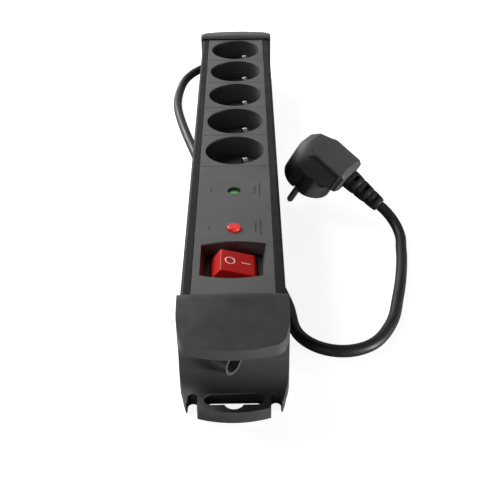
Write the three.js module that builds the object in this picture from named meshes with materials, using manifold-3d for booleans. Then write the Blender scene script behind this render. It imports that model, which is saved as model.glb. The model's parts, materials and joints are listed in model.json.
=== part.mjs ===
// Desk power strip: five earthed sockets of the French pattern in a channel
// housing, a control panel with indicator, reset button and rocker switch, two
// cable-winding end caps, and a mains cord with a right-angle plug.
//
// Millimetres. +X is across the strip, +Y runs along it to the cord's end, +Z is
// up. The origin is on the resting plane, under the middle of the strip.

import * as THREE from 'three';
import { mergeVertices } from 'three/addons/utils/BufferGeometryUtils.js';
import Module from 'manifold-3d';

// ---------------------------------------------------------------- dimensions

const TOUCH = 0.3; // gap kept between pieces that touch

// Housing channel
const FACE_Z = 50; // socket and panel faces
const BODY_HALF_W = 28.4;
const BODY_BOTTOM = 9; // the channel is held clear of the table
const WALL = 2;
const LIP_Z = 47.6; // underside of the shoulders that hold the inserts down
const LEDGE_TOP = 44;
const CAP_START = 181.5; // inner edge of each end cap
const SLEEVE_DEPTH = 7; // how far the channel runs into a cap
const HOUSING_END = CAP_START + SLEEVE_DEPTH - TOUCH;

// Socket inserts
const SOCKETS = 5;
const PITCH = 44;
const SEAM = 0.4;
const ROW_START = -40; // where the first socket meets the panel
const TILE_HALF_W = 22.8;
const FLANGE_HALF_W = 26.1;
const BLOCK_BOTTOM = 30.5;
const RECESS_R = 19.9;
const RECESS_FLOOR = FACE_Z - 15;
const PIN_SPACING = 19;
const PIN_R = 2.4;
const PIN_HOLE_R = 2.7;
const EARTH_OFFSET = 10; // earth pin from the middle of its socket
const DIAGONAL = Math.SQRT1_2; // the sockets are turned by 45 degrees
const CONTACT_XY = (PIN_SPACING / 2) * DIAGONAL;
const EARTH_XY = EARTH_OFFSET * DIAGONAL;

// Shutters
const SHUTTER_LENGTH = 28;
const SHUTTER_WIDTH = 8;
const SHUTTER_THICKNESS = 2.2;
const SHUTTER_TRAVEL = 7;

// Contact carrier and bus bars
const CARRIER_TOP = 30.2;
const CARRIER_BOTTOM = BODY_BOTTOM + WALL + TOUCH;
const CARRIER_Y = [-39, 174];
const BAR_Y = [-58, 171];
const EARTH_BAR_TOP = 13.5;

// Control panel
const PANEL_Y = [-CAP_START + TOUCH, ROW_START - SEAM / 2];
const INDICATOR_Y = -71.3;
const INDICATOR_R = 4.25;
const BUTTON_Y = -114.8;
const BUTTON_R = 4;
const BUTTON_TOP = 51.8;
const SWITCH_Y = -146;
const BEZEL_TOP = 41.7;

// Rocker, measured from its pivot with the rocker level
const PIVOT_Z = 38;
const ROCKER_TILT = 14; // degrees, right end pressed
const ROCKER_TOP = 10;
const ROCKER_TOP_HALF = 9.85;
const ROCKER_END = [12.6, 4.2];
const ROCKER_HALF_DEPTH = 10.2;
const LEVER_Z = 24.5;
const LEVER_TILT = -9; // degrees
const POLE_OFFSET = 5; // each switch pole from the middle of the switch

// End caps, in cap coordinates: y is outwards from the inner edge
const CAP_HALF_W = 29.9;
const ROOF_TOP = 53.3;
const ROOF_SLOPE = 10 / 33;
const ROOF_CROWN = 0.8;
const ROOF_FRONT = 35;
const ROOF_FRONT_R = 70;
const WIND_CENTRE = [26.5, 22.2]; // axis of the half-round winding recess
const WIND_R = 14.6;
const FLOOR_TOP = WIND_CENTRE[1] - WIND_R;
const TONGUE_HALF_W = 19.4;
const TONGUE_FRONT = 42.3;
const TONGUE_FRONT_R = 57;
const NOTCH_R = 2.7;
const PRONG_TIP = [25.4, 35];
const SCREW_X = 22;
const SCREW_T = 3.4;

// Cord outlet, in cap coordinates, and the cord
const OUTLET = [8, 11, 19.2];
const OUTLET_TURN = 50; // degrees from straight out, towards -X
const BOSS_LENGTH = 10.5;
const CORD_R = 3.6;

// Plug, at rest on the tips of its pins and on the cord at its boot
const PLUG_AT = [58, -6, 31.9];
const PLUG_TURN = 145; // degrees, direction of the pins in plan
const PLUG_DROP = 61; // degrees, how far the pins point down
const NOSE_R = 18.4;
const NOSE_FLAT = 16.6; // half the nose's width across its two flats
const GRIP_HALF = 12.8;
const NOSE_LENGTH = 17;
const PLUG_BACK = -18;
const BOOT_X = -9;
const BOOT_START = 24;
const BOOT_LENGTH = 28;

// ------------------------------------------------------------- solid helpers

const wasm = await Module();
wasm.setup();

function toSolid(geometry) {
  geometry.deleteAttribute('normal');
  geometry.deleteAttribute('uv');
  const merged = mergeVertices(geometry, 1e-4);
  const index = merged.index.array;
  const faces = [];
  for (let i = 0; i < index.length; i += 3) {
    const [a, b, c] = [index[i], index[i + 1], index[i + 2]];
    if (a !== b && b !== c && c !== a) faces.push(a, b, c);
  }
  return new wasm.Manifold(new wasm.Mesh({
    numProp: 3,
    vertProperties: new Float32Array(merged.attributes.position.array),
    triVerts: new Uint32Array(faces),
  }));
}

function toGeometry(solid) {
  const mesh = solid.getMesh();
  const geometry = new THREE.BufferGeometry();
  geometry.setAttribute('position', new THREE.BufferAttribute(mesh.vertProperties, 3));
  geometry.setIndex(new THREE.BufferAttribute(mesh.triVerts, 1));
  geometry.computeVertexNormals();
  return geometry;
}

const join = (first, ...others) => others.reduce((sum, other) => sum.add(other), first);
const cut = (base, ...tools) => tools.reduce((rest, tool) => rest.subtract(tool), base);
const overlap = (first, ...others) => others.reduce((sum, other) => sum.intersect(other), first);
const radians = THREE.MathUtils.degToRad;

// Block from [low, high] ranges along x, y and z.
function box(x, y, z) {
  const size = [x, y, z].map(([low, high]) => high - low);
  const middle = [x, y, z].map(([low, high]) => (low + high) / 2);
  return toSolid(new THREE.BoxGeometry(...size).translate(...middle));
}

// Upright round post.
function post(x, y, radius, [low, high], sides = 24) {
  const geometry = new THREE.CylinderGeometry(radius, radius, high - low, sides);
  return toSolid(geometry.rotateX(Math.PI / 2).translate(x, y, (low + high) / 2));
}

// Round rod along x, centred on y, z.
function rodX([low, high], y, z, radius, sides = 24) {
  const geometry = new THREE.CylinderGeometry(radius, radius, high - low, sides);
  return toSolid(geometry.rotateZ(-Math.PI / 2).translate((low + high) / 2, y, z));
}

// Round rod along y, centred on x, z, widening from one radius to the other.
function rodY(x, [low, high], z, radius, endRadius = radius, sides = 24) {
  const geometry = new THREE.CylinderGeometry(endRadius, radius, high - low, sides);
  return toSolid(geometry.translate(x, (low + high) / 2, z));
}

// Turned piece around the z axis from [radius, z] points.
function turned(points, sides = 16) {
  const profile = points.map(([radius, z]) => new THREE.Vector2(radius, z));
  return toSolid(new THREE.LatheGeometry(profile, sides).rotateX(Math.PI / 2));
}

function toShape(outline) {
  if (outline instanceof THREE.Shape) return outline;
  return new THREE.Shape(outline.map(([x, y]) => new THREE.Vector2(x, y)));
}

function extrude(outline, depth, curveSegments) {
  return new THREE.ExtrudeGeometry(toShape(outline), { depth, bevelEnabled: false, curveSegments });
}

// Outline in x, y raised between two heights.
function plate(outline, [low, high], curveSegments = 10) {
  return toSolid(extrude(outline, high - low, curveSegments).translate(0, 0, low));
}

// Outline in x, z run along y.
function section(outline, [low, high], curveSegments = 10) {
  const geometry = extrude(outline, high - low, curveSegments);
  return toSolid(geometry.rotateX(Math.PI / 2).translate(0, high, 0));
}

// Outline in y, z run along x.
function sideSection(outline, [low, high], curveSegments = 10) {
  const turn = new THREE.Matrix4().makeBasis(
    new THREE.Vector3(0, 1, 0),
    new THREE.Vector3(0, 0, 1),
    new THREE.Vector3(1, 0, 0),
  );
  return toSolid(extrude(outline, high - low, curveSegments).applyMatrix4(turn).translate(low, 0, 0));
}

function roundedRectangle([x0, x1], [y0, y1], radius) {
  const shape = new THREE.Shape();
  shape.absarc(x1 - radius, y0 + radius, radius, -Math.PI / 2, 0);
  shape.absarc(x1 - radius, y1 - radius, radius, 0, Math.PI / 2);
  shape.absarc(x0 + radius, y1 - radius, radius, Math.PI / 2, Math.PI);
  shape.absarc(x0 + radius, y0 + radius, radius, Math.PI, Math.PI * 1.5);
  return shape;
}

function circleShape(radius, sides) {
  const corner = (i) => new THREE.Vector2(
    radius * Math.cos((2 * Math.PI * i) / sides),
    radius * Math.sin((2 * Math.PI * i) / sides),
  );
  return new THREE.Shape(Array.from({ length: sides }, (_, i) => corner(i)));
}

// Tube along a curve, whose radius may change from one end to the other.
function tube(curve, steps, sides, startRadius, endRadius = startRadius) {
  const settings = { steps, extrudePath: curve };
  const geometry = new THREE.ExtrudeGeometry(circleShape(startRadius, sides), settings);
  if (endRadius === startRadius) return toSolid(geometry);
  const spine = curve.getSpacedPoints(steps);
  const place = geometry.attributes.position;
  const vertex = new THREE.Vector3();
  for (let i = 0; i < place.count; i += 1) {
    vertex.fromBufferAttribute(place, i);
    const distances = spine.map((point) => point.distanceTo(vertex));
    const ring = distances.indexOf(Math.min(...distances));
    const scale = 1 + (endRadius / startRadius - 1) * (ring / steps);
    vertex.sub(spine[ring]).multiplyScalar(scale).add(spine[ring]);
    place.setXYZ(i, vertex.x, vertex.y, vertex.z);
  }
  return toSolid(geometry);
}

// Thin insulated wire in straight runs with round corners.
function wire(points, radius) {
  const corners = points.map((point) => new THREE.Vector3(...point));
  const up = new THREE.Vector3(0, 1, 0);
  const runs = corners.slice(1).map((end, i) => {
    const start = corners[i];
    const direction = end.clone().sub(start);
    const geometry = new THREE.CylinderGeometry(radius, radius, direction.length(), 6);
    const turn = new THREE.Quaternion().setFromUnitVectors(up, direction.clone().normalize());
    const middle = start.clone().add(end).multiplyScalar(0.5);
    return toSolid(geometry.applyQuaternion(turn).translate(middle.x, middle.y, middle.z));
  });
  const bends = corners.slice(1, -1).map(({ x, y, z }) => (
    toSolid(new THREE.SphereGeometry(radius, 6, 4).translate(x, y, z))
  ));
  return join(...runs, ...bends);
}

class Helix extends THREE.Curve {
  constructor(radius, low, high, turns) {
    super();
    Object.assign(this, { radius, low, high, turns });
  }

  getPoint(t, target = new THREE.Vector3()) {
    const angle = 2 * Math.PI * this.turns * t;
    const z = this.low + (this.high - this.low) * t;
    return target.set(this.radius * Math.cos(angle), this.radius * Math.sin(angle), z);
  }
}

// ------------------------------------------------------------------- housing

function housingProfile() {
  const inner = BODY_HALF_W - WALL;
  const top = FACE_Z;
  const half = [
    [0, BODY_BOTTOM], [BODY_HALF_W - 3, BODY_BOTTOM], [BODY_HALF_W - 0.9, BODY_BOTTOM + 0.9],
    [BODY_HALF_W, BODY_BOTTOM + 3], [BODY_HALF_W, top - 1.4], [BODY_HALF_W - 1.4, top],
    [TILE_HALF_W + TOUCH, top], [TILE_HALF_W + TOUCH, LIP_Z], [inner, LIP_Z],
    [inner, LEDGE_TOP], [inner - 2, LEDGE_TOP], [inner - 2, LEDGE_TOP - 2],
    [inner, LEDGE_TOP - 2], [inner, BODY_BOTTOM + WALL], [0, BODY_BOTTOM + WALL],
  ];
  const mirrored = half.slice(1, -1).reverse().map(([x, z]) => [-x, z]);
  const channel = section([...half, ...mirrored], [-HOUSING_END, HOUSING_END]);
  const screwHoles = [-1, 1].flatMap((end) => [-1, 1].map((side) => (
    post(side * SCREW_X, end * (CAP_START + SCREW_T), 1.8, [8, 12], 10)
  )));
  return cut(channel, ...screwHoles);
}

// ------------------------------------------------------------------- sockets

const socketCentres = Array.from({ length: SOCKETS }, (_, i) => ROW_START + PITCH * (i + 0.5));

const contactPoints = [[-CONTACT_XY, -CONTACT_XY], [CONTACT_XY, CONTACT_XY]];

function socketInsert() {
  const halfDepth = (PITCH - SEAM) / 2;
  const tile = box([-TILE_HALF_W, TILE_HALF_W], [-halfDepth, halfDepth], [46, FACE_Z]);
  const flange = box([-FLANGE_HALF_W, FLANGE_HALF_W], [-halfDepth, halfDepth], [44.3, 47.3]);
  const block = box([-22, 22], [-21.2, 21.2], [BLOCK_BOTTOM, 45]);
  const recess = post(0, 0, RECESS_R, [RECESS_FLOOR, FACE_Z + 1], 44);
  const contactHoles = contactPoints.map(([x, y]) => post(x, y, PIN_HOLE_R, [32, 36], 10));
  const earthHole = post(EARTH_XY, -EARTH_XY, PIN_HOLE_R, [30, 36], 10);
  const room = 0.4;
  const chamber = new THREE.BoxGeometry(
    SHUTTER_LENGTH + 2 * room,
    SHUTTER_WIDTH + SHUTTER_TRAVEL + 2 * room,
    4,
  );
  chamber.translate(0, SHUTTER_TRAVEL / 2, RECESS_FLOOR - 4).rotateZ(Math.PI / 4);
  return cut(join(tile, flange, block), recess, ...contactHoles, earthHole, toSolid(chamber));
}

function shutter() {
  const half = SHUTTER_WIDTH / 2;
  const ramped = [
    [-half, 0], [half, 0], [half, SHUTTER_THICKNESS], [1.5, SHUTTER_THICKNESS], [-half, 0.6],
  ];
  const bar = extrude(ramped, SHUTTER_LENGTH);
  // The ramp faces the earth pin, so a plug's pins push the bar away from it.
  bar.translate(0, 0, -SHUTTER_LENGTH / 2).rotateX(Math.PI / 2).rotateZ(Math.PI * 0.75);
  return toSolid(bar.translate(0, 0, BLOCK_BOTTOM));
}

function earthPin() {
  return turned([
    [0, EARTH_BAR_TOP + TOUCH], [2, EARTH_BAR_TOP + TOUCH], [2, 20], [PIN_R, 20.4],
    [PIN_R, 46], [1.7, 47.4], [0, 47.8],
  ], 10);
}

// Insulating tray under the sockets, with a channel for each live bar.
function contactCarrier() {
  const leg = 1.5;
  const outer = BODY_HALF_W - WALL - 0.5;
  const underside = CARRIER_TOP - 2;
  const comb = [
    [-outer, CARRIER_BOTTOM], [-outer + leg, CARRIER_BOTTOM], [-outer + leg, underside],
    [-1, underside], [-1, CARRIER_BOTTOM], [1, CARRIER_BOTTOM], [1, underside],
    [outer - leg, underside], [outer - leg, CARRIER_BOTTOM], [outer, CARRIER_BOTTOM],
    [outer, CARRIER_TOP], [-outer, CARRIER_TOP],
  ];
  const holes = socketCentres.flatMap((y) => [
    ...contactPoints.map(([dx, dy]) => post(dx, y + dy, PIN_HOLE_R, [27, 31], 8)),
    post(EARTH_XY, y - EARTH_XY, PIN_HOLE_R, [27, 31], 8),
  ]);
  return cut(section(comb, CARRIER_Y), ...holes);
}

// Brass strip with a pair of spring leaves around each plug pin's place.
function busBar(side) {
  const stripX = side * 12;
  const strip = box([stripX - 0.4, stripX + 0.4], BAR_Y, [16, 24]);
  const clips = socketCentres.flatMap((centre) => {
    const x = side * CONTACT_XY;
    const y = centre + side * CONTACT_XY;
    const reach = [Math.min(stripX, x - side * 3.3), Math.max(stripX, x - side * 3.3)];
    const leaves = [-1, 1].map((face) => {
      const leaf = x + face * 2.95;
      return box([leaf - 0.35, leaf + 0.35], [y - 3, y + 3], [16, 27.6]);
    });
    return [box(reach, [y - 3, y + 3], [16, 16.8]), ...leaves];
  });
  return join(strip, ...clips);
}

function earthBar() {
  return box([EARTH_XY - 4, EARTH_XY + 4], BAR_Y, [EARTH_BAR_TOP - 1.2, EARTH_BAR_TOP]);
}

// ------------------------------------------------------------- control panel

// Switch pocket: straight sides and bowed ends, narrowing towards the bezel.
function switchPocket() {
  const [halfX, halfY, bow] = [18.8, 15, 3.1];
  const outline = new THREE.Shape();
  outline.moveTo(-halfX, -halfY);
  outline.quadraticCurveTo(0, -halfY - 2 * bow, halfX, -halfY);
  outline.lineTo(halfX, halfY);
  outline.quadraticCurveTo(0, halfY + 2 * bow, -halfX, halfY);
  const depth = FACE_Z - 40;
  const geometry = extrude(outline, depth, 10);
  const place = geometry.attributes.position;
  const taper = 2.6;
  for (let i = 0; i < place.count; i += 1) {
    if (place.getZ(i) > 0) continue;
    place.setX(i, place.getX(i) * (1 - taper / halfX));
    place.setY(i, place.getY(i) * (1 - taper / 3 / halfY));
  }
  const mouth = plate(outline, [FACE_Z - 0.01, FACE_Z + 1]);
  return join(toSolid(geometry.translate(0, 0, 40)), mouth).translate([0, SWITCH_Y, 0]);
}

function controlPanel() {
  const face = box([-TILE_HALF_W, TILE_HALF_W], PANEL_Y, [47.3, FACE_Z]);
  const rails = [-1, 1].map((side) => {
    const [near, far] = [side * 20.2, side * FLANGE_HALF_W];
    return box([Math.min(near, far), Math.max(near, far)], PANEL_Y, [44.3, 47.31]);
  });
  const pocketWall = box([-20.6, 20.6], [SWITCH_Y - 20, SWITCH_Y + 20], [BEZEL_TOP + TOUCH, 48]);
  const standoffs = [-47.5, -95.5].flatMap((y) => [-17, 17].map((x) => (
    post(x, y, 2, [31, 48], 12)
  )));
  return cut(
    join(face, ...rails, pocketWall, ...standoffs),
    switchPocket(),
    post(0, INDICATOR_Y, INDICATOR_R, [46, 51]),
    post(0, BUTTON_Y, BUTTON_R + 0.4, [46, 51]),
  );
}

function indicatorLens() {
  const radius = INDICATOR_R - TOUCH;
  return turned([[0, 42.5], [radius, 42.5], [radius, 47.6], [2.8, 48.3], [0, 48.6]], 24)
    .translate([0, INDICATOR_Y, 0]);
}

function indicatorLed() {
  return turned([[0, 31], [2.9, 31], [2.9, 32], [2.5, 32], [2.5, 38], [1.6, 40], [0, 40.8]])
    .translate([0, INDICATOR_Y, 0]);
}

function surgeBoard() {
  return box([-20, 20], [-98, -44.5], [29, 30.7]);
}

// Varistor disc standing on the board on its two legs.
function varistor(x, y) {
  const disc = rodX([x - 2, x + 2], y, 38.6, 6.2, 16);
  const legs = [-2.5, 2.5].map((dy) => box([x - 0.4, x + 0.4], [y + dy - 0.4, y + dy + 0.4], [31, 35]));
  return join(disc, ...legs);
}

// ------------------------------------------------------------------- breaker

function breakerBody() {
  const casing = box([-7.5, 7.5], [BUTTON_Y - 10.4, BUTTON_Y + 10.4], [20, 43]);
  const neck = post(0, BUTTON_Y, 6, [42, 46.9]);
  const terminals = [-5, 5].map((dy) => (
    box([-3, 3], [BUTTON_Y + dy - 0.4, BUTTON_Y + dy + 0.4], [14, 21])
  ));
  return cut(join(casing, neck, ...terminals), post(0, BUTTON_Y, BUTTON_R + 0.4, [29, 48]));
}

function resetButton() {
  return turned([
    [0, 33], [1.8, 33], [1.8, 38.3], [BUTTON_R, 38.3], [BUTTON_R, BUTTON_TOP - 0.6],
    [BUTTON_R - 0.6, BUTTON_TOP], [0, BUTTON_TOP],
  ], 24).translate([0, BUTTON_Y, 0]);
}

function resetSpring() {
  return tube(new Helix(3, 29.9, 37.4, 4), 36, 5, 0.4).translate([0, BUTTON_Y, 0]);
}

// -------------------------------------------------------------------- switch

function switchFrame() {
  const well = { x: [-13.7, 13.7], y: [SWITCH_Y - 10.6, SWITCH_Y + 10.6] };
  const bezel = box([-17.6, 17.6], [SWITCH_Y - 17.8, SWITCH_Y + 17.8], [40, BEZEL_TOP]);
  const casing = box([-15, 15], [SWITCH_Y - 12, SWITCH_Y + 12], [19, 41]);
  const pivotHoles = rodY(0, [SWITCH_Y - 13, SWITCH_Y + 13], PIVOT_Z, 1.9, 1.9, 16);
  const slots = [-1, 1].flatMap((pole) => {
    const y = SWITCH_Y + pole * POLE_OFFSET;
    const depth = [y - 0.7, y + 0.7];
    return [box([-2.8, 2.8], depth, [18, 21.5]), box([-9.5, -6.9], depth, [18, 21.5])];
  });
  return cut(join(bezel, casing), box(well.x, well.y, [20.5, 42]), pivotHoles, ...slots);
}

function rocker() {
  const [endX, endZ] = ROCKER_END;
  const sweep = Math.hypot(endX, endZ);
  const arc = [8, -4, -15].map((degrees) => [
    sweep * Math.cos(radians(degrees)), sweep * Math.sin(radians(degrees)),
  ]);
  const right = [
    [ROCKER_TOP_HALF, ROCKER_TOP], [endX, endZ], ...arc, [10, -5], [2.2, -5], [1.6, -9.6], [0.6, -10.5],
  ];
  const left = right.map(([x, z]) => [-x, z]).reverse();
  const outline = [...right, ...left].reverse();
  const depth = [-ROCKER_HALF_DEPTH, ROCKER_HALF_DEPTH];
  const pin = rodY(0, [-11.6, 11.6], 0, 1.6, 1.6, 16);
  return join(section(outline, depth), pin)
    .rotate([0, ROCKER_TILT, 0])
    .translate([0, SWITCH_Y, PIVOT_Z]);
}

function contactLever(pole) {
  return box([-9, 9], [-1.6, 1.6], [-0.4, 0.4])
    .rotate([0, LEVER_TILT, 0])
    .translate([0, SWITCH_Y + pole * POLE_OFFSET, LEVER_Z]);
}

function switchTerminal(pole, [x0, x1], top) {
  const y = SWITCH_Y + pole * POLE_OFFSET;
  return box([x0, x1], [y - 0.4, y + 0.4], [13, top]);
}

// ------------------------------------------------------------------ end caps

// Everything under the crowned, sloping roof.
function roofEnvelope() {
  const geometry = new THREE.BoxGeometry(64, 48, 60, 8, 6, 1).translate(0, 20, 30);
  const place = geometry.attributes.position;
  for (let i = 0; i < place.count; i += 1) {
    if (place.getZ(i) < 30) continue;
    const [x, t] = [place.getX(i), place.getY(i)];
    const fall = ROOF_SLOPE * Math.max(0, t - 2) + ROOF_CROWN * (x / CAP_HALF_W) ** 2;
    place.setZ(i, ROOF_TOP - fall);
  }
  return toSolid(geometry);
}

// Plan of the upper part: parallel flanks, then a taper into a round-nosed front.
function roofOutline() {
  const shoulder = [28.1, 24];
  const cornerEnd = 21.5;
  const span = Math.acos(cornerEnd / ROOF_FRONT_R);
  const arcY = ROOF_FRONT - ROOF_FRONT_R;
  const frontY = arcY + ROOF_FRONT_R * Math.sin(span);
  const shape = new THREE.Shape();
  shape.moveTo(-CAP_HALF_W, 0);
  shape.lineTo(CAP_HALF_W, 0);
  shape.lineTo(CAP_HALF_W, 12);
  shape.quadraticCurveTo(29.7, 18.5, ...shoulder);
  shape.quadraticCurveTo(27.4, 30.2, cornerEnd, frontY);
  shape.absarc(0, arcY, ROOF_FRONT_R, span, Math.PI - span);
  shape.quadraticCurveTo(-27.4, 30.2, -shoulder[0], shoulder[1]);
  shape.quadraticCurveTo(-29.7, 18.5, -CAP_HALF_W, 12);
  return shape;
}

// Plan of the floor plate: a tongue between two notches with pointed prongs.
function floorOutline() {
  const [tipX, tipY] = PRONG_TIP;
  const notchX = TONGUE_HALF_W + NOTCH_R;
  const notchY = 28 + NOTCH_R;
  const arcY = TONGUE_FRONT - TONGUE_FRONT_R;
  const span = Math.acos(TONGUE_HALF_W / TONGUE_FRONT_R);
  const shape = new THREE.Shape();
  shape.moveTo(-28.1, 20);
  shape.lineTo(28.1, 20);
  shape.quadraticCurveTo(28.1, 27, tipX, tipY);
  shape.lineTo(notchX + NOTCH_R, tipY - 1.2);
  shape.absarc(notchX, notchY, NOTCH_R, 0, -Math.PI, true);
  shape.absarc(0, arcY, TONGUE_FRONT_R, span, Math.PI - span);
  shape.absarc(-notchX, notchY, NOTCH_R, 0, -Math.PI, true);
  shape.lineTo(-notchX - NOTCH_R, tipY - 1.2);
  shape.lineTo(-tipX, tipY);
  shape.quadraticCurveTo(-28.1, 27, -28.1, 20);
  return shape;
}

// Side view of the body and roof around the half-round winding recess.
function sideOutline() {
  const [axisT, axisZ] = WIND_CENTRE;
  const shape = new THREE.Shape();
  shape.moveTo(0, 0);
  shape.lineTo(axisT, 0);
  shape.lineTo(axisT, FLOOR_TOP);
  shape.absarc(axisT, axisZ, WIND_R, Math.PI * 1.5, Math.PI / 2, true);
  shape.lineTo(40, axisZ + WIND_R);
  shape.lineTo(40, 60);
  shape.lineTo(0, 60);
  return shape;
}

// Hollow between the roof and the recess, open into the channel's end.
function roofHollow() {
  const [axisT, axisZ] = WIND_CENTRE;
  const shell = 2.4;
  const under = (t) => ROOF_TOP - ROOF_SLOPE * (t - 2) - shell - ROOF_CROWN;
  const shape = new THREE.Shape();
  shape.moveTo(6, axisZ + 2);
  shape.absarc(axisT, axisZ, WIND_R + shell, Math.PI * 0.96, Math.PI / 2, true);
  shape.lineTo(31, axisZ + WIND_R + shell);
  shape.lineTo(31, under(31));
  shape.lineTo(6, under(6));
  return sideSection(shape, [-21, 21]);
}

function outletRod(from, to, radius, sides = 20) {
  const [x, y, z] = OUTLET;
  return rodY(0, [from, to], 0, radius, radius, sides)
    .rotate([0, 0, OUTLET_TURN])
    .translate([x, y, z]);
}

function endCap(outletDepth) {
  const upper = overlap(roofEnvelope(), plate(roofOutline(), [0, 60], 6), sideSection(
    sideOutline(), [-32, 32], 14,
  ));
  const floor = plate(floorOutline(), [0, FLOOR_TOP], 6);
  const boss = outletRod(-1, BOSS_LENGTH, 6.8);
  const slot = plate(roundedRectangle([-16, 16], [28, 36.4], 4.2), [-1, 9], 6);
  const keyhole = post(0, 34.3, 5.5, [-1, 9], 20);
  const sleeve = box([-28.7, 28.7], [-1, SLEEVE_DEPTH], [BODY_BOTTOM - TOUCH, FACE_Z + TOUCH]);
  const coring = box([-17, 17], [1.8, 10], [-1, 5.5]);
  const screwHoles = [-SCREW_X, SCREW_X].flatMap((x) => [
    post(x, SCREW_T, 3.5, [-1, 4.3], 12),
    post(x, SCREW_T, 1.9, [4, 9], 10),
  ]);
  return cut(
    join(upper, floor, boss),
    slot, keyhole, sleeve, coring, roofHollow(), outletRod(...outletDepth, 5.3), ...screwHoles,
  );
}

function capScrew() {
  return turned([
    [0, 2.6], [1.2, 1.6], [2.9, 1.6], [2.9, 4], [1.45, 4], [1.45, 13.5], [0, 14.5],
  ], 10);
}

// ---------------------------------------------------------------- mains cord

// Points on a round bend in plan, whose height changes evenly.
function bend([x, y], radius, [from, to], [high, low], steps) {
  return Array.from({ length: steps + 1 }, (_, i) => {
    const share = i / steps;
    const angle = radians(from + (to - from) * share);
    const height = high + (low - high) * share;
    return [x + radius * Math.cos(angle), y + radius * Math.sin(angle), height];
  });
}

// Centreline of the cord from the strain relief's tip to the plug's boot: round
// the cord-end cap, under the channel, back in one open bend and up to the plug.
const ON_TABLE = CORD_R + 0.1;
const CORD_ROUTE = [
  ...bend([-19.6, 177.6], 29.5, [85, 163], [16.8, 6.8], 5),
  [-50.2, 174.5, 4.6], [-51.1, 160, 3.8], [-50, 142, ON_TABLE], [-46.2, 120, ON_TABLE],
  [-40.6, 95, ON_TABLE], [-34.2, 70, ON_TABLE], [-25, 36, ON_TABLE], [-12, 0, ON_TABLE],
  [3, -40, ON_TABLE], [17.6, -80, ON_TABLE], [28, -114, ON_TABLE], [32.4, -132, ON_TABLE],
  ...bend([62, -144.5], 28, [197, 320], [ON_TABLE, ON_TABLE], 6),
  [93.3, -145.8, ON_TABLE], [99.5, -124.2, ON_TABLE], [104.3, -103.7, ON_TABLE],
  [107.9, -83.1, ON_TABLE], [109.5, -69.3, ON_TABLE], [110.7, -58.5, 3.9], [109.9, -50.4, 5.4],
  [108, -44.9, 7.5], [105.3, -40.3, 9.9], [102, -36.8, 12.4], [99.12, -34.79, 14.37],
];

function cordCurve() {
  return new THREE.CatmullRomCurve3(CORD_ROUTE.map((point) => new THREE.Vector3(...point)));
}

function mainsCord() {
  return tube(cordCurve(), 46, 8, CORD_R);
}

// Tapered sleeve moulded on the cord: a flange inside the cap, then a flexible
// tail that follows the cord's first bend.
function strainRelief() {
  const [x, y, z] = [OUTLET[0], CAP_START + OUTLET[1], OUTLET[2]];
  const turn = radians(OUTLET_TURN);
  const along = (distance) => new THREE.Vector3(
    x - distance * Math.sin(turn), y + distance * Math.cos(turn), z,
  );
  const cordStart = new THREE.Vector3(...CORD_ROUTE[0]);
  const back = cordStart.clone().sub(new THREE.Vector3(...CORD_ROUTE[1])).normalize();
  const path = new THREE.CatmullRomCurve3([
    along(0), along(BOSS_LENGTH), cordStart.clone().addScaledVector(back, 9),
    cordStart.clone().addScaledVector(back, 4), cordStart.clone().addScaledVector(back, TOUCH),
  ]);
  const tail = tube(path, 14, 12, 4.7, 4.2);
  const neck = outletRod(-8.6, 1, 4.7, 12).translate([0, CAP_START, 0]);
  const [flangeFrom, flangeTo] = [4.2, SLEEVE_DEPTH - TOUCH];
  const flangeX = x + (OUTLET[1] - (flangeFrom + flangeTo) / 2) * Math.tan(turn);
  const flange = rodY(flangeX, [CAP_START + flangeFrom, CAP_START + flangeTo], z, 7.2);
  return join(tail, neck, flange);
}

// ---------------------------------------------------------------------- plug

// In plug coordinates x points along the pins, y out of the boot, z up.
function plugBody() {
  const flats = box([-19, 20], [-30, 30], [-NOSE_FLAT, NOSE_FLAT]);
  const nose = overlap(rodX([-1, NOSE_LENGTH], 0, 0, NOSE_R, 32), flats);
  const outline = new THREE.Shape();
  outline.moveTo(PLUG_BACK, -6);
  outline.quadraticCurveTo(PLUG_BACK, -15, PLUG_BACK + 9, -15);
  outline.lineTo(0, -15);
  outline.lineTo(0, BOOT_START);
  outline.lineTo(PLUG_BACK + 4, BOOT_START);
  outline.lineTo(PLUG_BACK, BOOT_START - 5);
  const bevelled = section([
    [1, -GRIP_HALF], [1, GRIP_HALF], [PLUG_BACK + 2, GRIP_HALF], [PLUG_BACK, GRIP_HALF - 3],
    [PLUG_BACK, 3 - GRIP_HALF], [PLUG_BACK + 2, -GRIP_HALF],
  ], [-30, 30]);
  const grip = overlap(plate(outline, [-GRIP_HALF, GRIP_HALF], 6), bevelled);
  const face = rodX([13.4, 18], 0, 0, 15.8, 32);
  const pinHoles = [-1, 1].map((side) => (
    rodX([9, 14], 0, (side * PIN_SPACING) / 2, PIN_HOLE_R, 14)
  ));
  const strapSlot = box([2.7, 15.3], [-20, 20], [-2.3, 2.3]);
  const sleeveBore = rodX([3, 14], EARTH_OFFSET, 0, 3.8, 16);
  const grooves = [-1, 1].map((side) => {
    const z = side * (NOSE_FLAT + 1.2);
    return box([3, 18], [-2.8, 2.8], [z - 2.7, z + 2.7]);
  });
  return cut(join(nose, grip), face, ...pinHoles, strapSlot, sleeveBore, ...grooves);
}

function plugFace() {
  const pinHoles = [-1, 1].map((side) => (
    rodX([12, 18], 0, (side * PIN_SPACING) / 2, PIN_HOLE_R, 14)
  ));
  const disc = rodX([13.7, 16.6], 0, 0, 15.4, 32);
  const strapRelief = [-1, 1].map((side) => {
    const [near, far] = [side * 14.6, side * 17];
    return box([13, 15.6], [Math.min(near, far), Math.max(near, far)], [-2.4, 2.4]);
  });
  return cut(disc, ...pinHoles, rodX([12, 18], EARTH_OFFSET, 0, 3.8, 16), ...strapRelief);
}

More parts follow.
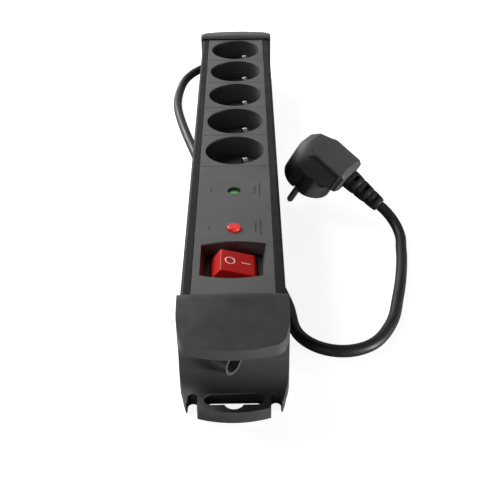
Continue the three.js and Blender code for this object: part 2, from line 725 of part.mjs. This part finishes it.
function plugPin(side) {
  const length = 36 - 9.3;
  const pin = turned([[0, 0], [PIN_R, 0], [PIN_R, length - 2], [1.6, length - 0.5], [0, length]]);
  return pin.rotate([0, 90, 0]).translate([9.3, 0, (side * PIN_SPACING) / 2]);
}

// Stamped earth strap: a side contact in each flank, a cross bar and the sleeve
// that takes a socket's earth pin.
function plugEarthStrap() {
  const cross = box([3, 3.9], [-18.2, 18.2], [-2, 2]);
  const flanks = [-1, 1].map((side) => {
    const [near, far] = [side * 17.4, side * 18.2];
    return box([3, 15], [Math.min(near, far), Math.max(near, far)], [-2, 2]);
  });
  const sleeve = cut(
    rodX([3.4, 16.4], EARTH_OFFSET, 0, 3.4, 16),
    rodX([4.5, 17], EARTH_OFFSET, 0, 2.65, 16),
  );
  return join(cross, ...flanks, sleeve);
}

function plugBoot() {
  const boot = rodY(BOOT_X, [BOOT_START + TOUCH, BOOT_START + BOOT_LENGTH], 0, 7, 5.2, 20);
  const ribs = [0, 1, 2].flatMap((row) => [-1, 1].map((side) => {
    const y = BOOT_START + 6 + row * 6.4;
    const z = side * 6;
    return box([BOOT_X - 9, BOOT_X + 9], [y, y + 2.6], [z - 2.2, z + 2.2]);
  }));
  return cut(boot, ...ribs);
}

// ------------------------------------------------------------------ assembly

const material = (color, roughness, metalness = 0) => (
  new THREE.MeshStandardMaterial({ color, roughness, metalness })
);

const MATERIALS = {
  housing: material(0x2c2c2d, 0.5),
  tile: material(0x666768, 0.6),
  cap: material(0x3d3d3e, 0.55),
  tray: material(0x24262a, 0.7),
  shutter: material(0x1c1c1e, 0.6),
  brass: material(0xb08d4a, 0.35, 1),
  nickel: material(0xc4c4c2, 0.25, 1),
  copper: material(0xa8643c, 0.4, 1),
  red: material(0xa81818, 0.35),
  resetRed: material(0xc42828, 0.35),
  green: material(0x6f9f6c, 0.3),
  board: material(0x2f5a3a, 0.6),
  varistor: material(0x2b5fa0, 0.5),
  breaker: material(0x1a1a1c, 0.5),
  steel: material(0x9a9a9c, 0.35, 1),
  rubber: material(0x1e1e1f, 0.7),
  plug: material(0x343436, 0.6),
  live: material(0x6a4228, 0.6),
  neutral: material(0x2f5fa8, 0.6),
  earth: material(0x7a9a2c, 0.6),
};

const strip = new THREE.Group();

function add(name, solid, finish, parent = strip) {
  const mesh = new THREE.Mesh(toGeometry(solid), finish);
  mesh.name = name;
  parent.add(mesh);
  return mesh;
}

add('housing_profile', housingProfile(), MATERIALS.housing);

socketCentres.forEach((y, i) => {
  const place = new THREE.Group();
  place.position.y = y;
  strip.add(place);
  add(`socket_insert_${i + 1}`, socketInsert(), MATERIALS.tile, place);
  add(`shutter_${i + 1}`, shutter(), MATERIALS.shutter, place);
  const pin = add(`earth_pin_${i + 1}`, earthPin(), MATERIALS.nickel, place);
  pin.position.set(EARTH_XY, -EARTH_XY, 0);
});

add('contact_carrier', contactCarrier(), MATERIALS.tray);
add('live_bus_bar', busBar(-1), MATERIALS.brass);
add('neutral_bus_bar', busBar(1), MATERIALS.brass);
add('earth_bus_bar', earthBar(), MATERIALS.copper);

add('control_panel', controlPanel(), MATERIALS.tile);
add('indicator_lens', indicatorLens(), MATERIALS.green);
add('indicator_led', indicatorLed(), MATERIALS.green);
add('surge_board', surgeBoard(), MATERIALS.board);
[[-10, -54], [0, -54], [10, -54]].forEach(([x, y], i) => {
  add(`varistor_${i + 1}`, varistor(x, y), MATERIALS.varistor);
});

add('breaker_body', breakerBody(), MATERIALS.breaker);
add('reset_button', resetButton(), MATERIALS.resetRed);
add('reset_spring', resetSpring(), MATERIALS.steel);

add('switch_frame', switchFrame(), MATERIALS.tray);
add('rocker', rocker(), MATERIALS.red);
[-1, 1].forEach((pole, i) => {
  add(`contact_lever_${i + 1}`, contactLever(pole), MATERIALS.copper);
  add(`line_terminal_${i + 1}`, switchTerminal(pole, [-2.5, 2.5], 23.7), MATERIALS.brass);
  add(`load_terminal_${i + 1}`, switchTerminal(pole, [-9.2, -7.2], 22.2), MATERIALS.brass);
});

const frontEnd = new THREE.Group();
frontEnd.position.y = -CAP_START;
frontEnd.rotation.z = Math.PI;
const rearEnd = new THREE.Group();
rearEnd.position.y = CAP_START;
strip.add(frontEnd, rearEnd);
// The front cap's outlet is a blind one, because the cord leaves at the rear.
add('front_end_cap', endCap([5, 12]), MATERIALS.cap, frontEnd);
add('rear_end_cap', endCap([-9, 12]), MATERIALS.cap, rearEnd);
[['front', frontEnd], ['rear', rearEnd]].forEach(([end, parent]) => {
  [-SCREW_X, SCREW_X].forEach((x, i) => {
    add(`${end}_cap_screw_${i + 1}`, capScrew(), MATERIALS.steel, parent).position.set(x, SCREW_T, 0);
  });
});

add('cord_strain_relief', strainRelief(), MATERIALS.rubber);
add('mains_cord', mainsCord(), MATERIALS.rubber);

const switchedLead = (side) => [
  [side * 21, 175, 14.2], [side * 21, -128, 14.2],
  [side * 4, SWITCH_Y + side * POLE_OFFSET, 15.5],
];
add('live_lead', wire([[8, 183.4, 16.4], [-17, 183.4, 14.2], ...switchedLead(-1)], 1.3), MATERIALS.live);
add('neutral_lead', wire([[17, 183.6, 19.6], ...switchedLead(1)], 1.3), MATERIALS.neutral);
add('earth_lead', wire([[11.6, 182.4, 20.4], [11.2, 179, 17], [8, 177.8, 14.6]], 1.3), MATERIALS.earth);

const plug = new THREE.Group();
plug.position.set(...PLUG_AT);
plug.rotation.set(-Math.PI / 2, radians(PLUG_DROP), radians(PLUG_TURN), 'ZYX');
strip.add(plug);
add('plug_body', plugBody(), MATERIALS.plug, plug);
add('plug_face', plugFace(), MATERIALS.plug, plug);
[-1, 1].forEach((side, i) => {
  add(`plug_pin_${i + 1}`, plugPin(side), MATERIALS.nickel, plug);
});
add('plug_earth_strap', plugEarthStrap(), MATERIALS.nickel, plug);
add('plug_boot', plugBoot(), MATERIALS.rubber, plug);

export default strip;
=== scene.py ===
"""Looks for the desk power strip: camera and cord, materials, finer pieces, studio."""

import json
import math

import bmesh
import bpy
from mathutils import Matrix, Vector


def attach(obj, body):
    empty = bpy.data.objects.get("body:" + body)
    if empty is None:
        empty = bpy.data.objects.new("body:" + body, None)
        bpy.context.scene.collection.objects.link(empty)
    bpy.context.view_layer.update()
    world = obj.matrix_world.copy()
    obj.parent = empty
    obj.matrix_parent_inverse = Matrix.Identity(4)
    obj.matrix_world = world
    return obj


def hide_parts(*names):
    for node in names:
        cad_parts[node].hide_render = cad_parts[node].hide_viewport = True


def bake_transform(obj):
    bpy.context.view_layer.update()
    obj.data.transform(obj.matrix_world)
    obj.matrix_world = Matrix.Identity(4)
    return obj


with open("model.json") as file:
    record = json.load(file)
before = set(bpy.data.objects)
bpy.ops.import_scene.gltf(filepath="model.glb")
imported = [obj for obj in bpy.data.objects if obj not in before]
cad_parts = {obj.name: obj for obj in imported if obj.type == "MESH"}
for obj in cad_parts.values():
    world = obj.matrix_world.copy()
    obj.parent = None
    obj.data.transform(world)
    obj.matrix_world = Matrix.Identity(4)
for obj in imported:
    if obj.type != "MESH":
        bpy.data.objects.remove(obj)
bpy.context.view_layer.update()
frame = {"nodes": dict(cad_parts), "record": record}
NODES = frame["nodes"]
scene = bpy.context.scene
MM = 0.001

# ---------------------------------------------------------------- camera

CAMERA_AT = (8.64, -561.5, 344.7)
PITCH_DOWN = 34.16
YAW = 0.116
ROLL = -0.681
LENS = 65.17


def make_camera():
    pitch, yaw, roll = (math.radians(a) for a in (PITCH_DOWN, YAW, ROLL))
    forward = Vector((
        math.sin(yaw) * math.cos(pitch),
        math.cos(yaw) * math.cos(pitch),
        -math.sin(pitch),
    ))
    level = Vector((math.cos(yaw), -math.sin(yaw), 0))
    upright = level.cross(forward)
    right = level * math.cos(roll) + upright * math.sin(roll)
    up = upright * math.cos(roll) - level * math.sin(roll)
    data = bpy.data.cameras.new("camera")
    data.sensor_width = 36
    data.lens = LENS
    data.clip_start = 0.01
    data.clip_end = 20
    camera = bpy.data.objects.new("camera", data)
    scene.collection.objects.link(camera)
    camera.matrix_world = Matrix((
        (right.x, up.x, -forward.x, CAMERA_AT[0] * MM),
        (right.y, up.y, -forward.y, CAMERA_AT[1] * MM),
        (right.z, up.z, -forward.z, CAMERA_AT[2] * MM),
        (0, 0, 0, 1),
    ))
    scene.camera = camera


make_camera()

# ------------------------------------------------------------------ cord

CORD_R = 3.6
ON_TABLE = CORD_R + 0.1


def bend(centre, radius, angles, heights, steps):
    """Points on a round bend in plan, whose height changes evenly."""
    points = []
    for i in range(steps + 1):
        share = i / steps
        angle = math.radians(angles[0] + (angles[1] - angles[0]) * share)
        points.append((
            centre[0] + radius * math.cos(angle),
            centre[1] + radius * math.sin(angle),
            heights[0] + (heights[1] - heights[0]) * share,
        ))
    return points


CORD_ROUTE = [
    *bend((-19.6, 177.6), 29.5, (85, 163), (16.8, 6.8), 5),
    (-50.2, 174.5, 4.6), (-51.1, 160, 3.8), (-50, 142, ON_TABLE), (-46.2, 120, ON_TABLE),
    (-40.6, 95, ON_TABLE), (-34.2, 70, ON_TABLE), (-25, 36, ON_TABLE), (-12, 0, ON_TABLE),
    (3, -40, ON_TABLE), (17.6, -80, ON_TABLE), (28, -114, ON_TABLE), (32.4, -132, ON_TABLE),
    *bend((62, -144.5), 28, (197, 320), (ON_TABLE, ON_TABLE), 6),
    (93.3, -145.8, ON_TABLE), (99.5, -124.2, ON_TABLE), (104.3, -103.7, ON_TABLE),
    (107.9, -83.1, ON_TABLE), (109.5, -69.3, ON_TABLE), (110.7, -58.5, 3.9), (109.9, -50.4, 5.4),
    (108, -44.9, 7.5), (105.3, -40.3, 9.9), (102, -36.8, 12.4), (99.12, -34.79, 14.37),
]


def smooth_line(route, per_span=12):
    """Centripetal Catmull-Rom curve through the route's points."""
    knots = [Vector(p) for p in route]
    knots = [2 * knots[0] - knots[1], *knots, 2 * knots[-1] - knots[-2]]
    line = []
    for p0, p1, p2, p3 in zip(knots, knots[1:], knots[2:], knots[3:]):
        d0, d1, d2 = (math.sqrt((b - a).length) for a, b in ((p0, p1), (p1, p2), (p2, p3)))
        t1 = ((p1 - p0) / d0 - (p2 - p0) / (d0 + d1) + (p2 - p1) / d1) * d1
        t2 = ((p2 - p1) / d1 - (p3 - p1) / (d1 + d2) + (p3 - p2) / d2) * d1
        for i in range(per_span):
            t = i / per_span
            line.append(
                (2 * t**3 - 3 * t**2 + 1) * p1 + (t**3 - 2 * t**2 + t) * t1
                + (3 * t**2 - 2 * t**3) * p2 + (t**3 - t**2) * t2
            )
    line.append(knots[-2])
    return line


def sweep(name, line, radii, sides=24):
    """Tube mesh with closed ends round a line, with one radius per point of the line."""
    mesh_data = bmesh.new()
    side = Vector((0, 0, 1))
    rings = []
    for i, (place, radius) in enumerate(zip(line, radii)):
        ahead = line[min(i + 1, len(line) - 1)] - line[max(i - 1, 0)]
        ahead.normalize()
        side = (side - ahead * side.dot(ahead)).normalized()
        across = ahead.cross(side)
        rings.append([
            mesh_data.verts.new(
                (place + radius * (math.cos(turn) * side + math.sin(turn) * across)) * MM
            )
            for turn in (2 * math.pi * k / sides for k in range(sides))
        ])
    for low, high in zip(rings, rings[1:]):
        for k in range(sides):
            n = (k + 1) % sides
            mesh_data.faces.new((low[k], low[n], high[n], high[k]))
    mesh_data.faces.new(rings[0][::-1])
    mesh_data.faces.new(rings[-1])
    bmesh.ops.recalc_face_normals(mesh_data, faces=mesh_data.faces)
    return finish_mesh(name, mesh_data)


def finish_mesh(name, mesh_data, smooth=True):
    data = bpy.data.meshes.new(name)
    mesh_data.to_mesh(data)
    mesh_data.free()
    for polygon in data.polygons:
        polygon.use_smooth = smooth
    piece = bpy.data.objects.new(name, data)
    scene.collection.objects.link(piece)
    return piece


def hull(points):
    """Convex solid round points, as a mesh that is still being made."""
    shape = bmesh.new()
    for point in points:
        shape.verts.new(Vector(point) * MM)
    made = bmesh.ops.convex_hull(shape, input=shape.verts)
    inner = {
        item for item in made["geom_interior"] + made["geom_unused"]
        if isinstance(item, bmesh.types.BMVert)
    }
    bmesh.ops.delete(shape, geom=list(inner), context="VERTS")
    return shape


def block(name, xs, ys, zs):
    return finish_mesh(name, hull([(x, y, z) for x in xs for y in ys for z in zs]), smooth=False)


def combine(piece, others, operation):
    """Joins other pieces to a piece, or cuts them out of it, and removes them."""
    for other in others:
        step = piece.modifiers.new("step", "BOOLEAN")
        step.operation = operation
        step.solver = "EXACT"
        step.object = other
    shown = piece.evaluated_get(bpy.context.evaluated_depsgraph_get())
    shaped = bpy.data.meshes.new_from_object(shown)
    piece.modifiers.clear()
    piece.data = shaped
    for other in others:
        bpy.data.objects.remove(other)


def make_cord(line):
    cord = sweep("mains_lead", line, [CORD_R] * len(line))
    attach(cord, "root")
    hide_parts("mains_cord")
    return cord


cord_line = smooth_line(CORD_ROUTE)
cord = make_cord(cord_line)

# ------------------------------------------------------------- materials


def grained(
    name, colour, roughness, metallic=0.0, grain=900.0, depth=0.00006, mottle=0.12,
    rough_span=0.08, coat=0.0, coat_roughness=0.2, specular=0.5, glow=0.0,
):
    """Moulded or rolled finish: fine relief, cloudy colour and uneven gloss."""
    material = bpy.data.materials.new(name)
    material.use_nodes = True
    tree = material.node_tree
    tree.nodes.clear()
    output = tree.nodes.new("ShaderNodeOutputMaterial")
    shader = tree.nodes.new("ShaderNodeBsdfPrincipled")
    tree.links.new(shader.outputs["BSDF"], output.inputs["Surface"])
    shader.inputs["Metallic"].default_value = metallic
    shader.inputs["Specular IOR Level"].default_value = specular
    shader.inputs["Coat Weight"].default_value = coat
    shader.inputs["Coat Roughness"].default_value = coat_roughness
    shader.inputs["Emission Color"].default_value = (*colour, 1)
    shader.inputs["Emission Strength"].default_value = glow
    place = tree.nodes.new("ShaderNodeTexCoord")

    def noise(scale, detail):
        node = tree.nodes.new("ShaderNodeTexNoise")
        node.inputs["Scale"].default_value = scale
        node.inputs["Detail"].default_value = detail
        tree.links.new(place.outputs["Object"], node.inputs["Vector"])
        return node

    clouds = noise(38.0, 4.0)
    ramp = tree.nodes.new("ShaderNodeValToRGB")
    ramp.color_ramp.elements[0].position = 0.3
    ramp.color_ramp.elements[1].position = 0.7
    ramp.color_ramp.elements[0].color = (*(c * (1 - mottle) for c in colour), 1)
    ramp.color_ramp.elements[1].color = (*(min(1, c * (1 + mottle)) for c in colour), 1)
    tree.links.new(clouds.outputs["Fac"], ramp.inputs["Fac"])
    tree.links.new(ramp.outputs["Color"], shader.inputs["Base Color"])

    patches = noise(110.0, 3.0)
    gloss = tree.nodes.new("ShaderNodeMapRange")
    gloss.inputs["From Min"].default_value = 0.3
    gloss.inputs["From Max"].default_value = 0.7
    gloss.inputs["To Min"].default_value = max(0.02, roughness - rough_span)
    gloss.inputs["To Max"].default_value = min(1, roughness + rough_span)
    tree.links.new(patches.outputs["Fac"], gloss.inputs["Value"])
    tree.links.new(gloss.outputs["Result"], shader.inputs["Roughness"])

    relief = noise(grain, 2.0)
    bump = tree.nodes.new("ShaderNodeBump")
    bump.inputs["Strength"].default_value = 0.35
    bump.inputs["Distance"].default_value = depth
    tree.links.new(relief.outputs["Fac"], bump.inputs["Height"])
    tree.links.new(bump.outputs["Normal"], shader.inputs["Normal"])
    return material


MATERIALS = {
    "housing": grained("housing", (0.012, 0.012, 0.013), 0.45, grain=1500, specular=0.22),
    "tile": grained("tile", (0.13, 0.13, 0.132), 0.55, grain=1800, depth=0.00004),
    "cap": grained("cap", (0.075, 0.075, 0.077), 0.42, grain=1400, depth=0.00004, specular=0.7),
    "tray": grained("tray", (0.02, 0.021, 0.024), 0.6),
    "shutter": grained("shutter", (0.012, 0.012, 0.013), 0.55),
    "brass": grained("brass", (0.66, 0.45, 0.2), 0.32, metallic=1, depth=0.00002),
    "nickel": grained("nickel", (0.62, 0.61, 0.58), 0.2, metallic=1, depth=0.00001, mottle=0.04),
    "copper": grained("copper", (0.66, 0.33, 0.18), 0.36, metallic=1, depth=0.00002),
    # The rocker's red has a small emission: painted glow that brightens and saturates it under any
    # light.
    "red": grained(
        "red", (0.62, 0.01, 0.008), 0.42, depth=0.00002, mottle=0.06, specular=0.25, glow=0.08,
    ),
    # The reset button's emission is painted glow that makes it look brighter and redder; the button
    # is no lamp.
    "reset_red": grained("reset_red", (0.85, 0.03, 0.025), 0.32, mottle=0.06, glow=0.2),
    "green": grained("green", (0.1, 0.32, 0.1), 0.2, coat=0.6, depth=0.00002, glow=0.25),
    "board": grained("board", (0.03, 0.12, 0.05), 0.45, coat=0.3),
    "varistor": grained("varistor", (0.03, 0.12, 0.35), 0.35),
    "breaker": grained("breaker", (0.015, 0.015, 0.016), 0.5),
    "steel": grained("steel", (0.55, 0.55, 0.56), 0.34, metallic=1, depth=0.00002),
    "rubber": grained("rubber", (0.022, 0.022, 0.0225), 0.45, grain=1200, depth=0.00003),
    "plug": grained("plug", (0.08, 0.08, 0.082), 0.48, grain=1300, depth=0.00004, specular=0.6),
    "live": grained("live", (0.14, 0.055, 0.02), 0.4),
    "neutral": grained("neutral", (0.03, 0.12, 0.4), 0.4),
    "earth": grained("earth", (0.2, 0.32, 0.03), 0.4),
    # The rocker symbols' emission is painted glow that keeps them bright in any light; they are
    # print, not a lamp.
    "mark": grained("mark", (0.9, 0.78, 0.75), 0.5, mottle=0.03, glow=0.3),
    "print": grained("print", (0.03, 0.03, 0.03), 0.6),
}


def paint(obj, slot):
    obj.data.materials.clear()
    obj.data.materials.append(MATERIALS[slot])


for sub in frame["record"]["subparts"]:
    paint(NODES[sub["node"]], sub["material_slot"])
paint(cord, "rubber")

# ---------------------------------------------------------- finer pieces

# The plug's own frame has x along the pins, y out of the boot and z across the grip.
PLUG_AT = (58, -6, 31.9)
PLUG_TURN = 145
PLUG_DROP = 61
PLUG_POSE = (
    Matrix.Translation(Vector(PLUG_AT) * MM)
    @ Matrix.Rotation(math.radians(PLUG_TURN), 4, "Z")
    @ Matrix.Rotation(math.radians(PLUG_DROP), 4, "Y")
    @ Matrix.Rotation(math.radians(-90), 4, "X")
)
GRIP_HALF = 12.8
GRIP_CORE = 7  # half the grip's thickness where its outline is widest
NOSE_R = 18.4
NOSE_FLAT = 16.6  # half the nose's width across its two flats
NOSE_START = -0.5
NOSE_END = 17
NOSE_EDGE = 0.8
FACE_DEPTH = 13.4
FACE_R = 15.8
STRAP_START = 3
STRAP_HALF = 2.3
PIN_SPACING = 19
PIN_HOLE_R = 2.7
EARTH_OFFSET = 10
EARTH_HOLE_R = 3.8
BOOT_X = -9
BOOT_START = 23.9
BOOT_LENGTH = 28.1
BUTTON_Y = -114.8
INDICATOR_Y = -71.3
PANEL_TOP = 50


def fit(piece, slot, *nodes):
    """Paints a fixed piece and lets it stand for CAD nodes."""
    paint(piece, slot)
    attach(piece, "root")
    if nodes:
        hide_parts(*nodes)


def circle(radius, steps, start=0, end=360):
    for i in range(steps):
        turn = math.radians(start + (end - start) * i / (steps - 1))
        yield radius * math.cos(turn), radius * math.sin(turn)


def nose_ring(x, radius):
    """Outline of the plug's nose at one depth: round, with a flat on either side."""
    return [(x, y, max(-NOSE_FLAT, min(NOSE_FLAT, z))) for y, z in circle(radius, 65)]


def rod(x_start, x_end, y, z, radius):
    ends = [(x, y + dy, z + dz) for x in (x_start, x_end) for dy, dz in circle(radius, 33)]
    return finish_mesh("rod", hull(ends), smooth=False)


def plug_shell():
    """Round nose on a flat grip with slanted facets, and the nose's slots and bores."""
    rings = ((NOSE_START, NOSE_R), (NOSE_END - NOSE_EDGE, NOSE_R), (NOSE_END, NOSE_R - NOSE_EDGE))
    nose = [point for x, radius in rings for point in nose_ring(x, radius)]
    shell = finish_mesh("plug_shell", hull(nose), smooth=False)
    middle = [(-10, -17), (-16, -12), (-18.4, -5), (-18.4, 20), (-16, 24), (0, 24)]
    flank = [
        (-1.5, 23), (-15, 23), (-16.5, 21), (-16.5, 0), (-15.5, -3), (-10, -9), (-6, -10), (-2, -2),
    ]
    grip = [(x, y, z) for x, y in middle for z in (-GRIP_CORE, GRIP_CORE)]
    grip += [(x, y, z) for x, y in flank for z in (-GRIP_HALF, GRIP_HALF)]
    rim = nose_ring(0.3, NOSE_R)
    combine(shell, [finish_mesh("grip", hull(rim + grip), smooth=False)], "UNION")
    combine(shell, nose_cutters(), "DIFFERENCE")
    shell.data.transform(PLUG_POSE)
    soften(shell, 0.7, 3, angle=20)
    fit(shell, "plug", "plug_body")


def nose_cutters():
    """What is open in the nose: face, earth bore, strap slot, pin holes and guide grooves."""
    past_end = NOSE_END + 1
    cutters = [
        rod(FACE_DEPTH, past_end, 0, 0, FACE_R),
        rod(STRAP_START, FACE_DEPTH + 0.6, EARTH_OFFSET, 0, EARTH_HOLE_R),
        block("strap_slot", (2.7, 15.3), (-20, 20), (-STRAP_HALF, STRAP_HALF)),
    ]
    for side in (-1, 1):
        cutters.append(rod(9, FACE_DEPTH + 0.6, 0, side * PIN_SPACING / 2, PIN_HOLE_R))
        cutters.append(rod(STRAP_START, past_end, 0, side * (NOSE_FLAT + 1.2), PIN_HOLE_R))
    return cutters


def plug_pad(side):
    """Raised grip pad with a round end and five grooves, on one face of the plug."""
    end_r, left, right, top = 7.6, -16.6, -1.4, 21

    def outline(inset, height):
        z = side * (GRIP_HALF + height)
        arc = [(x + BOOT_X, y + 1, z) for x, y in circle(end_r - inset, 25, 180, 360)]
        return arc + [(left + inset, top - inset, z), (right - inset, top - inset, z)]

    name = "plug_pad_near" if side > 0 else "plug_pad_far"
    layers = outline(0, -0.5) + outline(0, 0.4) + outline(0.9, 1)
    pad = finish_mesh(name, hull(layers), smooth=False)
    depth = sorted((side * (GRIP_HALF + 0.45), side * (GRIP_HALF + 2)))
    grooves = [
        block("groove", (x - 0.5, x + 0.5), (1.5, 18.5), depth)
        for x in (BOOT_X + 2.6 * step for step in (-2, -1, 0, 1, 2))
    ]
    combine(pad, grooves, "DIFFERENCE")
    pad.data.transform(PLUG_POSE)
    fit(pad, "plug")


def plug_boot():
    """Segmented sleeve that tapers along the cord, with rows of slots."""
    segments, steps = 3, 84
    wide, taper, groove = 7.4, 2.2, 0.5
    line = []
    radii = []
    for i in range(steps + 1):
        share = i / steps
        wave = abs(math.sin(math.pi * share * segments))
        line.append(Vector((BOOT_X, BOOT_START + BOOT_LENGTH * share, 0)))
        radii.append(wide - taper * share - groove * (1 - wave) ** 3)
    boot = sweep("plug_boot_sleeve", line, radii, sides=40)
    cutters = []
    for row in range(segments):
        y = BOOT_START + BOOT_LENGTH * (row + 0.5) / segments
        for turn in (70, 200, 250, 380):
            cutter = block("slot", (4.3, 9), (y - 1.5, y + 1.5), (-2.6, 2.6))
            around = Matrix.Rotation(math.radians(turn), 4, "Y")
            cutter.data.transform(Matrix.Translation((BOOT_X * MM, 0, 0)) @ around)
            cutters.append(cutter)
    combine(boot, cutters, "DIFFERENCE")
    boot.data.transform(PLUG_POSE)
    fit(boot, "rubber", "plug_boot")


def button_spring():
    """Return spring: a fixed coil whose lower end stays in the breaker and whose upper end sits
    under the button.
    """
    turns, steps, radius, wire_r, low, high = 4, 144, 3, 0.4, 29.9, 37.4
    line = []
    for i in range(steps + 1):
        share = i / steps
        turn = 2 * math.pi * turns * share
        x, y = radius * math.cos(turn), radius * math.sin(turn)
        line.append(Vector((x, BUTTON_Y + y, low + (high - low) * share)))
    spring = sweep("button_spring", line, [wire_r] * len(line), sides=10)
    paint(spring, "steel")
    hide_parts("reset_spring")
    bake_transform(spring)


def rocker_mark(name, line):
    mark = sweep(name, line, [0.32] * len(line), sides=10)
    paint(mark, "mark")
    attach(mark, "rocker")


def rocker_top(x, y):
    """Point on the rocker's sloping top, just under its surface."""
    slope, plane, sunk = math.radians(14.03), 46.9, 0.14
    return Vector((x, y, (plane - math.sin(slope) * x) / math.cos(slope) - sunk))


def panel_dash(name, x, y, length):
    """Plain printed dash on the control panel, where a label would be."""
    half_width, half_length = 0.35, length / 2
    layer = (PANEL_TOP - 0.1, PANEL_TOP + 0.03)
    dash = block(name, (x - half_width, x + half_width), (y - half_length, y + half_length), layer)
    paint(dash, "print")
    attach(dash, "root")


def add_marks():
    ring = [rocker_top(-1.9 + 2.6 * x, -145.6 + 3 * y) for x, y in circle(1, 41)]
    rocker_mark("rocker_ring", ring)
    rocker_mark("rocker_bar", [rocker_top(4.6 + i, -145.9) for i in range(6)])
    for spot, y in (("indicator", INDICATOR_Y), ("button", BUTTON_Y)):
        panel_dash(f"{spot}_dash_inner", 13, y + 1, 9)
        panel_dash(f"{spot}_dash_outer", 16, y + 1, 17)
        panel_dash(f"{spot}_dash_left", -14.6, y + 1, 5)


# -------------------------------------------------- edges on the CAD pieces


# Pieces whose flat faces stay as they are, because they have holes in them.
KEEP_FACES = {"switch_frame"}


def soften(obj, width, segments=2, angle=28):
    """Rounds the sharp edges and evens the shading, as modifiers."""
    weld = obj.modifiers.new("weld", "WELD")
    weld.merge_threshold = 0.001 * MM
    if obj.name not in KEEP_FACES:
        merge = obj.modifiers.new("merge", "DECIMATE")
        merge.decimate_type = "DISSOLVE"
        merge.angle_limit = math.radians(0.6)
    edge = obj.modifiers.new("edge", "BEVEL")
    edge.width = width * MM
    edge.segments = segments
    edge.limit_method = "ANGLE"
    edge.angle_limit = math.radians(angle)
    edge.harden_normals = False
    edge.use_clamp_overlap = True
    evened = obj.modifiers.new("evened", "WEIGHTED_NORMAL")
    evened.keep_sharp = False
    evened.weight = 50
    for polygon in obj.data.polygons:
        polygon.use_smooth = True


EDGES = {
    "housing_profile": 0.25, "front_end_cap": 0.45, "rear_end_cap": 0.45, "switch_frame": 0.25,
    "rocker": 0.5, "reset_button": 0.4, "plug_face": 0.3, "indicator_lens": 0.2,
}
SOCKET_EDGE = 0.35
OTHER_EDGE = 0.12
# The panel's many holes leave no clean room for a bevel, so it stays as the CAD made it.
LEFT_SHARP = {"control_panel"}

for name, node in NODES.items():
    usual = SOCKET_EDGE if name.startswith("socket_insert") else OTHER_EDGE
    if name not in LEFT_SHARP:
        soften(node, EDGES.get(name, usual))

plug_shell()
plug_pad(1)
plug_pad(-1)
plug_boot()
button_spring()
add_marks()

# ---------------------------------------------------------------- studio


def seen_by_camera(tree):
    """1 where the camera looks straight at the surface, and 0 for its light on others."""
    return tree.nodes.new("ShaderNodeLightPath").outputs["Is Camera Ray"]


def pale_floor():
    mesh = bpy.data.meshes.new("floor")
    mesh.from_pydata([(-6, -6, 0), (6, -6, 0), (6, 6, 0), (-6, 6, 0)], [], [(0, 1, 2, 3)])
    floor = bpy.data.objects.new("floor", mesh)
    scene.collection.objects.link(floor)
    pale = bpy.data.materials.new("floor")
    pale.use_nodes = True
    tree = pale.node_tree
    shader = tree.nodes["Principled BSDF"]
    shader.inputs["Base Color"].default_value = (0.8, 0.8, 0.8, 1)
    shader.inputs["Roughness"].default_value = 0.9
    shader.inputs["Specular IOR Level"].default_value = 0.1
    shader.inputs["Emission Color"].default_value = (1, 1, 1, 1)
    glow = tree.nodes.new("ShaderNodeMath")
    glow.operation = "MULTIPLY"
    glow.inputs[1].default_value = 0.88
    tree.links.new(seen_by_camera(tree), glow.inputs[0])
    tree.links.new(glow.outputs[0], shader.inputs["Emission Strength"])
    mesh.materials.append(pale)


def white_backdrop():
    world = bpy.data.worlds.new("world")
    scene.world = world
    world.use_nodes = True
    tree = world.node_tree
    sky = tree.nodes["Background"]
    sky.inputs["Color"].default_value = (1, 1, 1, 1)
    strength = tree.nodes.new("ShaderNodeMath")
    strength.operation = "ADD"
    strength.inputs[1].default_value = 0.03
    tree.links.new(seen_by_camera(tree), strength.inputs[0])
    tree.links.new(strength.outputs[0], sky.inputs["Strength"])


def softbox(name, place, width, height, power):
    data = bpy.data.lights.new(name, "AREA")
    data.shape = "RECTANGLE"
    data.size = width
    data.size_y = height
    data.energy = power
    light = bpy.data.objects.new(name, data)
    scene.collection.objects.link(light)
    light.location = place
    aim = Vector((0, -0.05, 0.03)) - Vector(place)
    light.rotation_euler = aim.to_track_quat("-Z", "Y").to_euler()


def studio():
    pale_floor()
    white_backdrop()
    softbox("key", (-0.85, 0.95, 0.7), 0.6, 0.6, 16.5)
    softbox("back", (0, 1.3, 0.8), 0.8, 0.8, 1.5)
    softbox("top", (-0.5, 0.3, 0.7), 0.4, 0.4, 2.6)
    softbox("side", (1.3, -0.75, 0.06), 0.5, 0.1, 24)
    softbox("front", (-0.5, -0.9, 0.35), 0.4, 0.4, 0.6)


studio()
scene.view_settings.view_transform = "Standard"
scene.view_settings.look = "None"
